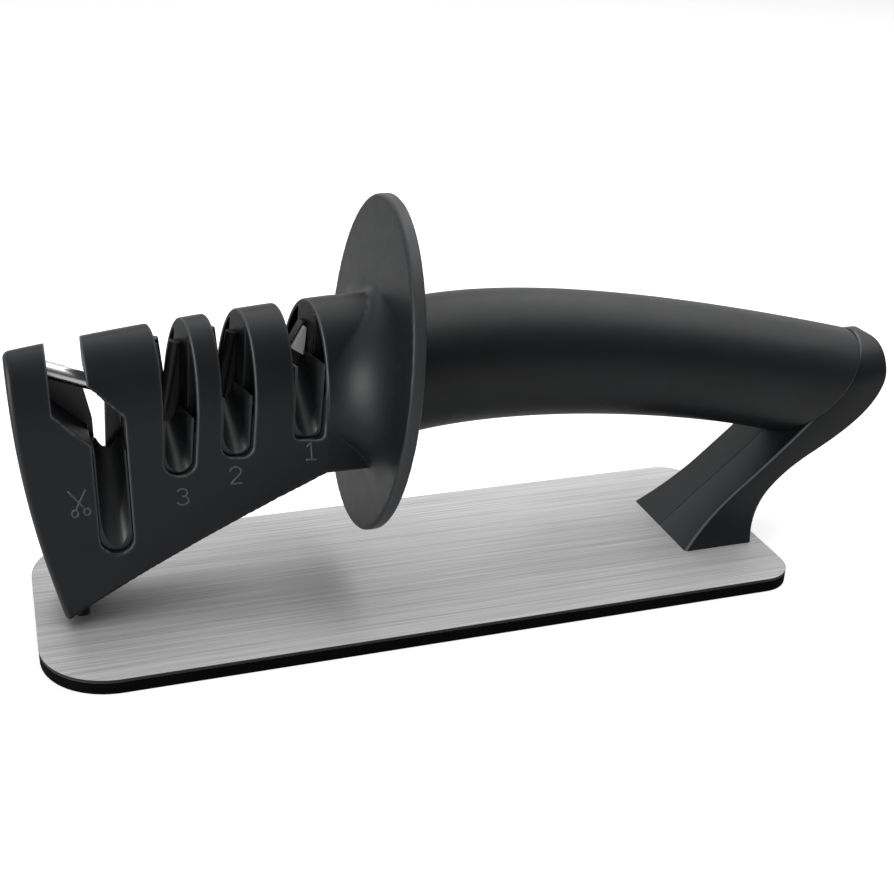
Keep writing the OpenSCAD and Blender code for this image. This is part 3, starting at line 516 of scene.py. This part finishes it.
def head_edge_highlight(x, y, z):
    """Painted highlight on the head's moulded edges: closeness to them, as the largest of their edge shares.

    Full round the slots, and less along the skirt, down the front and on the guard's rim.
    """
    u, front, _ = hood_share(x, z)
    flank = hood_section(y, z, u, 0)
    near = edge_share(flank, scissors_slot(x, z))
    for foot_x, foot_z, r in slot_feet:
        near = np.maximum(near, edge_share(flank, knife_slot(x, y, z, foot_x, foot_z, r)))
    near = np.maximum(near, 0.35 * edge_share(flank, hood_skirt_z(u) - z))
    near = np.maximum(near, 0.5 * edge_share(flank, front - x, 0.5))
    oval, flat = guard_faces(x, y, z)
    near = np.maximum(near, 0.3 * edge_share(oval, np.maximum(flat, 0), 0.4))
    return np.maximum(near, 0.8 * edge_share(oval, flat))


def satin_black(name, dark, light, rough, gloss):
    """Satin black moulding: spark-eroded grain in the gloss, faint clouds in the colour, painted highlights
    on its rims.
    """
    material = new_finish(name, Specular_IOR_Level=gloss)
    fine = grain(material, 1500, 2.0)
    # Painted highlight: by the rim attribute the colour turns paler grey at the moulded edges.
    rim = add_node(material, "ShaderNodeAttribute", attribute_name="rim")
    clouded = tinted(material, grain(material, 35), dark, light)
    feed(material,
         Base_Color=overlaid(material, rim.outputs["Fac"], clouded, edge_highlight_grey),
         Roughness=between(material, grain(material, 260), rough - 0.05, rough + 0.07),
         Normal=bumped(material, fine, 0.06, 0.0001))
    return material


body_black = satin_black("body_black", (0.0034, 0.0041, 0.0053), (0.0056, 0.0068, 0.0086), 0.42, 0.3)
# The moulding's edges get a painted highlight, full round the slots and fainter on the skirt, the front and
# the guard's rim.
add_piece("head_moulding", head_points, head_faces, ["head_housing"], body_black, head_normals,
          rim=head_edge_highlight(*head_points.T))

# Stage signs: the numbers 1 to 3 under the knife slots and a small pair of scissors by the stepped slot.
# They stand very slightly proud of the near flank, in the grey of rubbed plastic.
sign_w, sign_lift, sign_sink, sign_scale, stroke_points = 0.5, 0.1, 0.05, 0.86, 5
end_share, flank_passes = 0.4, 6
rubbed_dark, rubbed_light = (0.03, 0.032, 0.035), (0.06, 0.062, 0.066)
sign_grey = new_finish("sign_grey", Roughness=0.5)
feed(sign_grey, Base_Color=tinted(sign_grey, grain(sign_grey, 900), rubbed_dark, rubbed_light))


def stroke(path):
    """Ridge along a path of (across, up) points on the near flank.

    A half-round profile is set square to the path, and each point goes out along Y to the flank.
    """
    path = np.asarray(path, float)
    ahead = np.gradient(path, axis=0)
    ahead /= np.linalg.norm(ahead, axis=1, keepdims=True)
    square = np.column_stack([-ahead[:, 1], ahead[:, 0]])
    path[0] -= ahead[0] * sign_w * end_share
    path[-1] += ahead[-1] * sign_w * end_share
    t = np.linspace(0, math.pi, stroke_points)
    flat = path[:, None] + square[:, None] * (np.cos(t) * sign_w / 2)[None, :, None]
    x, z = flat[..., 0], flat[..., 1]
    u = hood_share(x, z)[0]
    y = np.zeros_like(x) - hood_front_half
    for _ in range(flank_passes):
        y = y + hood_section(y, z, u, 0)
    points = np.stack([x, y + sign_sink - (sign_lift + sign_sink) * np.sin(t)[None], z], -1)
    return points.reshape(-1, 3), closed_stack(len(path), stroke_points)


def arc(cx, cz, rx, rz, start, stop, steps=14):
    """Points of an ellipse's arc, in degrees from its right."""
    t = np.radians(np.linspace(start, stop, steps))
    return np.column_stack([cx + rx * np.cos(t), cz + rz * np.sin(t)])


def polyline(*corners, steps=6):
    """Evenly split straight runs between corners."""
    runs = [np.linspace(a, b, steps, endpoint=False) for a, b in zip(corners[:-1], corners[1:])]
    return np.concatenate(runs + [[corners[-1]]])


sign_places = {"one": (-27.2, 41.2), "two": (-43.4, 36.8), "three": (-54.7, 32.7), "shears": (-76.0, 33.2)}
sign_strokes = {
    "one": [polyline((-0.9, 1.3), (0.1, 2.2), (0.1, -2.2)), polyline((-1.2, -2.2), (1.4, -2.2))],
    "two": [np.concatenate([arc(0, 0.95, 1.35, 1.25, 165, -35),
                            polyline((0.75, -0.1), (-1.35, -2.2), (1.5, -2.2))])],
    "three": [arc(-0.1, 1.1, 1.25, 1.1, 150, -80), arc(-0.1, -1.05, 1.45, 1.15, 85, -150)],
    "shears": [polyline((-2.3, 3.4), (1.2, -1.5)), polyline((1.7, 3.6), (-0.9, -1.6)),
               arc(1.7, -2.4, 0.75, 0.95, 120, 480, 18), arc(-1.2, -2.7, 0.75, 1.0, 60, 420, 18)],
}
for name, strokes in sign_strokes.items():
    ridges = [stroke(np.asarray(path) * sign_scale + sign_places[name]) for path in strokes]
    first = np.cumsum([0] + [len(points) for points, _ in ridges[:-1]])
    sign_points = np.concatenate([points for points, _ in ridges])
    sign_faces = [[n + corner for corner in face] for (_, faces), n in zip(ridges, first) for face in faces]
    add_piece("sign_" + name, sign_points, sign_faces, [], sign_grey, crease=180)

# Holders and the retaining plate: black mouldings pushed up into the hood from below, whose half-pipe
# saddles show in the slots. The plate under them is held by four zinc-plated screws.
insert_black = satin_black("insert_black", (0.013, 0.0143, 0.0162), (0.019, 0.0205, 0.0228), 0.4, 0.5)
core_plastic = satin_black("core_plastic", (0.02, 0.02, 0.02), (0.03, 0.03, 0.03), 0.5, 0.3)
fastener_steel = new_finish("fastener_steel", Metallic=1.0)
feed(fastener_steel,
     Base_Color=tinted(fastener_steel, grain(fastener_steel, 300), (0.45, 0.45, 0.46), (0.62, 0.62, 0.63)),
     Roughness=between(fastener_steel, grain(fastener_steel, 900), 0.28, 0.45))


def dress(material, *names):
    """Gives CAD nodes that stay as they are their finish."""
    for name in names:
        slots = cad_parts[name].data.materials
        slots.clear()
        slots.append(material)


dress(insert_black, "stage_one_holder", "stage_two_holder", "stage_three_holder", "scissors_holder",
      "retaining_plate")
dress(core_plastic, "handle_core")
dress(fastener_steel, "retaining_screws", "neck_pin", "leg_dowels", "toe_screws", "foot_screws")

# Abrasives: ground carbide blades in the coarse slot, diamond-coated rods in the fine one, grey ceramic
# rods in the last, and for scissors a polished rod with a flat carbide bar behind it.
carbide = new_finish("carbide", Metallic=0.1)
ground = grain(carbide, 1.0, 2.0, (300, 300, 5000))
feed(carbide,
     Base_Color=tinted(carbide, ground, (0.82, 0.82, 0.83), (0.95, 0.95, 0.95)),
     Roughness=between(carbide, ground, 0.3, 0.45),
     Normal=bumped(carbide, ground, 0.15, 0.00005))
diamond_coat = new_finish("diamond_coat", Metallic=0.3, Specular_IOR_Level=0.2)
grit = grain(diamond_coat, 6000, 1.0)
feed(diamond_coat,
     Base_Color=tinted(diamond_coat, grit, (0.003, 0.003, 0.0032), (0.016, 0.016, 0.017)),
     Roughness=between(diamond_coat, grit, 0.45, 0.7),
     Normal=bumped(diamond_coat, grit, 0.5, 0.0001))
grey_ceramic = new_finish("grey_ceramic", Specular_IOR_Level=0.3)
glaze = grain(grey_ceramic, 700)
feed(grey_ceramic,
     Base_Color=tinted(grey_ceramic, glaze, (0.016, 0.0165, 0.0175), (0.028, 0.0288, 0.030)),
     Roughness=between(grey_ceramic, glaze, 0.3, 0.45))
polished_rod = new_finish("polished_rod", Metallic=1.0)
turned = grain(polished_rod, 1.0, 2.0, (3000, 200, 3000))
feed(polished_rod,
     Base_Color=tinted(polished_rod, turned, (0.52, 0.52, 0.53), (0.64, 0.64, 0.65)),
     Roughness=between(polished_rod, turned, 0.2, 0.3))
dress(carbide, "coarse_blade_left", "coarse_blade_right", "scissors_bar")
dress(diamond_coat, "diamond_rod_left", "diamond_rod_right")
dress(grey_ceramic, "ceramic_rod_left", "ceramic_rod_right")
dress(polished_rod, "scissors_rod")

# Leg: two mirrored mouldings that meet down the middle, with a faint groove where they join.
# The foot flares out on the plate, and the spine sweeps up behind the handle to a thin rounded tip.
leg_front = np.array([[66, plate_top], [78.395, 15.605], [105.0, 34.715], [114.0, 52.6]])
leg_rear = np.array([[84.5, plate_top], [86.25, 12.665], [91.5, 19.28], [100.95, 24.67]])
spine_rear = np.array([leg_rear[3], 2 * leg_rear[3] - leg_rear[2], [119.5, 35.94], [119.5, 45.25]])
spine_tip = np.array([spine_rear[3], [119.5, 51.6], [119.2, 52.5], leg_front[3]])
leg_half_w, foot_half_w, foot_flare_h = 10.7, 14.3, 13.0
leg_round_z, leg_top_z = plate_top + 37.7, plate_top + 49.05
leg_corner_r, leg_seam_r, leg_sections, tip_gap = 0.9, 0.22, 110, 0.02
front_edge, front_seam = slice(16, 19), slice(21, None)


def cubic(points, steps=40):
    """Points of a cubic curve with those four controls."""
    t = np.linspace(0, 1, steps)[:, None]
    a, b, c, d = points
    return a * (1 - t) ** 3 + 3 * b * t * (1 - t) ** 2 + 3 * c * t ** 2 * (1 - t) + d * t ** 3


leg_front_line = cubic(leg_front)
leg_rear_line = np.concatenate([cubic(leg_rear), cubic(spine_rear)[1:], cubic(spine_tip)[1:]])


def leg_front_x(z):
    """X of the leg's front face at height z."""
    return np.interp(z, leg_front_line[:, 1], leg_front_line[:, 0])


def leg_shell(side):
    """One half of the leg: level sections stacked from the foot to the tip.

    Each section is a rectangle from the front to the rear curve and from the seam out to the half width, with
    rounded corners. The half width flares as a square towards the foot and closes as a circle at the tip.
    """
    climb = np.sin(np.linspace(0, math.pi / 2, leg_sections))
    z = plate_top + (leg_front[3, 1] - tip_gap - plate_top) * climb
    front, rear = leg_front_x(z), np.interp(z, leg_rear_line[:, 1], leg_rear_line[:, 0])
    half = leg_half_w + (foot_half_w - leg_half_w) * (1 - np.clip((z - plate_top) / foot_flare_h, 0, 1)) ** 2
    half = half * np.sqrt(1 - np.clip((z - leg_round_z) / (leg_top_z - leg_round_z), 0, 1) ** 2)
    widest_r = 0.45 * (rear - front)
    outer_r, inner_r = np.minimum(leg_corner_r, widest_r), np.minimum(leg_seam_r, widest_r)
    t = np.radians(np.linspace(0, 90, 7))
    corners = [
        (rear - inner_r, inner_r, inner_r, -90), (rear - outer_r, half - outer_r, outer_r, 0),
        (front + outer_r, half - outer_r, outer_r, 90), (front + inner_r, inner_r, inner_r, 180),
    ]
    x = np.concatenate([cx[:, None] + r[:, None] * np.cos(t + math.radians(a)) for cx, _, r, a in corners], 1)
    y = np.concatenate([cy[:, None] + r[:, None] * np.sin(t + math.radians(a)) for _, cy, r, a in corners], 1)
    points = np.stack([x, y * side, np.repeat(z[:, None], x.shape[1], 1)], -1)
    faces = closed_stack(len(z), x.shape[1])
    if side < 0:
        faces = [face[::-1] for face in faces]
    # Painted highlight: the front corner is painted paler grey, and the seam faintly so.
    rim = np.zeros(x.shape)
    rim[:, front_edge] = 0.9
    rim[:, front_seam] = 0.15
    return points.reshape(-1, 3), faces, rim.ravel()


for side, node in ((1, "leg_left_half"), (-1, "leg_right_half")):
    leg_points, leg_faces, leg_edge_highlight = leg_shell(side)
    add_piece(node.replace("half", "shell"), leg_points, leg_faces, [node], body_black,
              crease=50, rim=leg_edge_highlight)

# Soft grip: a matt black sleeve moulded over the core, oval in section, fuller at both ends than at its
# waist. It butts against the guard, and its far end follows the leg's front face with a fine seam.
grip_start_x, grip_end_x, grip_half_w = guard_x + guard_t, 112.5, 13.0
grip_line = np.array([
    [grip_start_x, plate_top + 49],
    [grip_start_x + 0.28 * (grip_end_x - grip_start_x), plate_top + 57.4],
    [grip_end_x, plate_top + 35.7],
])
grip_half_tall = np.array([31.5, 29.8, 26.5])[:, None] / 2
grip_wall, grip_seam, grip_edge_r, grip_tuck = 3.0, 0.15, 0.7, 0.9
skin_rings, bore_rings, grip_around = 108, 39, 96
soft_dark, soft_light = (0.0030, 0.0037, 0.0048), (0.0050, 0.0061, 0.0078)


def quadratic(points, t):
    """Points of a quadratic curve with those three controls at shares t."""
    a, b, c = points
    return a * (1 - t) ** 2 + 2 * b * t * (1 - t) + c * t ** 2


def grip_sleeve():
    """The sleeve: ovals along the handle's line, each drawn in at the rounded ends, and back along its bore.

    An oval leans with the guard at its start, and by the cube of its share takes the leg's front curve.
    Its underside is tucked up at the leg.
    """
    bend = np.linspace(0, math.pi / 2, 6)
    reach = grip_edge_r / (grip_end_x - grip_start_x)
    skin, bore = np.linspace(reach, 1 - reach, skin_rings + 2)[1:-1], np.linspace(1, 0, bore_rings + 1)[:-1]
    t = np.concatenate([[0], reach * (1 - np.cos(bend)), skin,
                        1 - reach * (1 - np.cos(bend[::-1])), bore])[:, None]
    inset = np.concatenate([[grip_wall], grip_edge_r * (1 - np.sin(bend)), np.zeros(skin_rings),
                            grip_edge_r * (1 - np.sin(bend[::-1])), np.full(bore_rings, grip_wall)])[:, None]
    turn = np.radians(-90 - np.linspace(0, 360, grip_around + 1)[:-1])[None]
    mid = quadratic(grip_line, t)
    tuck = grip_tuck * t ** 6
    tall = quadratic(grip_half_tall, t) - tuck - inset
    z = mid[:, 1:] + tuck + tall * np.sin(turn)
    start = (leaning(grip_start_x, z) - grip_start_x) * (1 - t)
    end = leg_front_x(z) - grip_seam - grip_end_x
    x = mid[:, :1] + start + (end - start) * t ** 3
    y = (grip_half_w - inset) * np.cos(turn)
    return np.stack([x, y, z], -1).reshape(-1, 3), ring_faces(len(t), grip_around, True)[:, ::-1]


soft_touch = new_finish("soft_touch", Specular_IOR_Level=0.3)
skin_grain = grain(soft_touch, 1800, 2.0)
feed(soft_touch,
     Base_Color=tinted(soft_touch, grain(soft_touch, 40), soft_dark, soft_light),
     Roughness=between(soft_touch, grain(soft_touch, 220), 0.38, 0.5),
     Normal=bumped(soft_touch, skin_grain, 0.08, 0.0001))
grip_points, grip_faces = grip_sleeve()
add_piece("grip_sleeve", grip_points, grip_faces, ["soft_grip"], soft_touch, crease=60)

# Studio: a plain pale floor that keeps the soft shadow, two large soft lamps and a white surround.
# Reflections see the surround as a dome that is brightest above and behind the sharpener.
floor_half, floor_glow = 3, 0.65
floor_mesh = bpy.data.meshes.new("floor")
floor_corners = [(-floor_half, -floor_half, 0), (floor_half, -floor_half, 0),
                 (floor_half, floor_half, 0), (-floor_half, floor_half, 0)]
floor_mesh.from_pydata(floor_corners, [], [(0, 1, 2, 3)])
floor = bpy.data.objects.new("floor", floor_mesh)
bpy.context.scene.collection.objects.link(floor)
floor_pale = new_finish("floor_pale", Base_Color=(0.8, 0.8, 0.8, 1), Roughness=0.9, Specular_IOR_Level=0.1)
paths = add_node(floor_pale, "ShaderNodeLightPath")
seen = add_node(floor_pale, "ShaderNodeMath", {0: paths.outputs["Is Camera Ray"], 1: floor_glow},
                operation="MULTIPLY")
glow = add_node(floor_pale, "ShaderNodeEmission", {"Color": (1, 1, 1, 1), "Strength": seen.outputs[0]})
floor_nodes = floor_pale.node_tree.nodes
both = add_node(floor_pale, "ShaderNodeAddShader", {
    0: floor_nodes["Principled BSDF"].outputs[0], 1: glow.outputs[0]})
floor_pale.node_tree.links.new(both.outputs[0], floor_nodes["Material Output"].inputs["Surface"])
floor_mesh.materials.append(floor_pale)

world = bpy.data.worlds.new("surround")
bpy.context.scene.world = world
world.use_nodes = True
surround = world.node_tree.nodes["Background"]
surround.inputs["Color"].default_value = (1, 1, 1, 1)
world_paths = add_node(world, "ShaderNodeLightPath")
gaze = add_node(world, "ShaderNodeTexCoord").outputs["Generated"]
dome_middle = (0.1, 0.55, 0.83)
skyward = add_node(world, "ShaderNodeVectorMath", {0: gaze, 1: dome_middle}, operation="DOT_PRODUCT")
dome = add_node(world, "ShaderNodeMapRange", {
    "Value": skyward.outputs["Value"], "From Min": -0.3, "From Max": 0.8, "To Min": 0.1, "To Max": 1.0},
    interpolation_type="SMOOTHSTEP")
clear = add_node(world, "ShaderNodeMath", {
    0: world_paths.outputs["Is Camera Ray"], 1: world_paths.outputs["Is Transmission Ray"]},
    operation="MAXIMUM")
plain = add_node(world, "ShaderNodeMapRange", {"Value": clear.outputs[0], "To Min": 0.2, "To Max": 1.0})
level = add_node(world, "ShaderNodeMix", {
    "Factor": world_paths.outputs["Is Glossy Ray"],
    "A": plain.outputs["Result"], "B": dome.outputs["Result"]})
world.node_tree.links.new(level.outputs["Result"], surround.inputs["Strength"])


def soft_lamp(name, place, aim, size, power):
    """A square area lamp at place, turned to aim, all in metres."""
    lamp = bpy.data.lights.new(name, "AREA")
    lamp.size, lamp.energy = size, power
    obj = bpy.data.objects.new(name, lamp)
    bpy.context.scene.collection.objects.link(obj)
    obj.location = place
    obj.rotation_euler = (Vector(aim) - Vector(place)).to_track_quat("-Z", "Y").to_euler()


lamp_aim = (0, 0, 0.05)
soft_lamp("overhead", (0.3, 0.12, 0.9), lamp_aim, 1.1, 8)
soft_lamp("left", (-0.85, -0.32, 0.26), lamp_aim, 0.45, 6)

# Camera: fitted to the plate's corners in the photograph, which fills a square frame.
view_turn, view_rise, view_roll = math.radians(-19.08), math.radians(25), math.radians(1.91)
view_aim, view_away = np.array([7.9, 0, 28.9 + plate_top]), 310.5
level_back = np.array([math.sin(view_turn), -math.cos(view_turn), 0])
back = level_back * math.cos(view_rise) + np.array([0, 0, math.sin(view_rise)])
right = np.array([math.cos(view_turn), math.sin(view_turn), 0])
above = np.cross(back, right)
rolled_right = right * math.cos(view_roll) + above * math.sin(view_roll)
rolled_above = above * math.cos(view_roll) - right * math.sin(view_roll)
camera_data = bpy.data.cameras.new("camera")
camera_data.sensor_width, camera_data.lens = 36.0, 53.48
camera = bpy.data.objects.new("camera", camera_data)
bpy.context.scene.collection.objects.link(camera)
place = Matrix.Identity(4)
for k, axis in enumerate((rolled_right, rolled_above, back, (view_aim + back * view_away) * METRE)):
    place.col[k][:3] = axis
camera.matrix_world = place
bpy.context.scene.camera = camera
bpy.context.scene.view_settings.view_transform = "Standard"
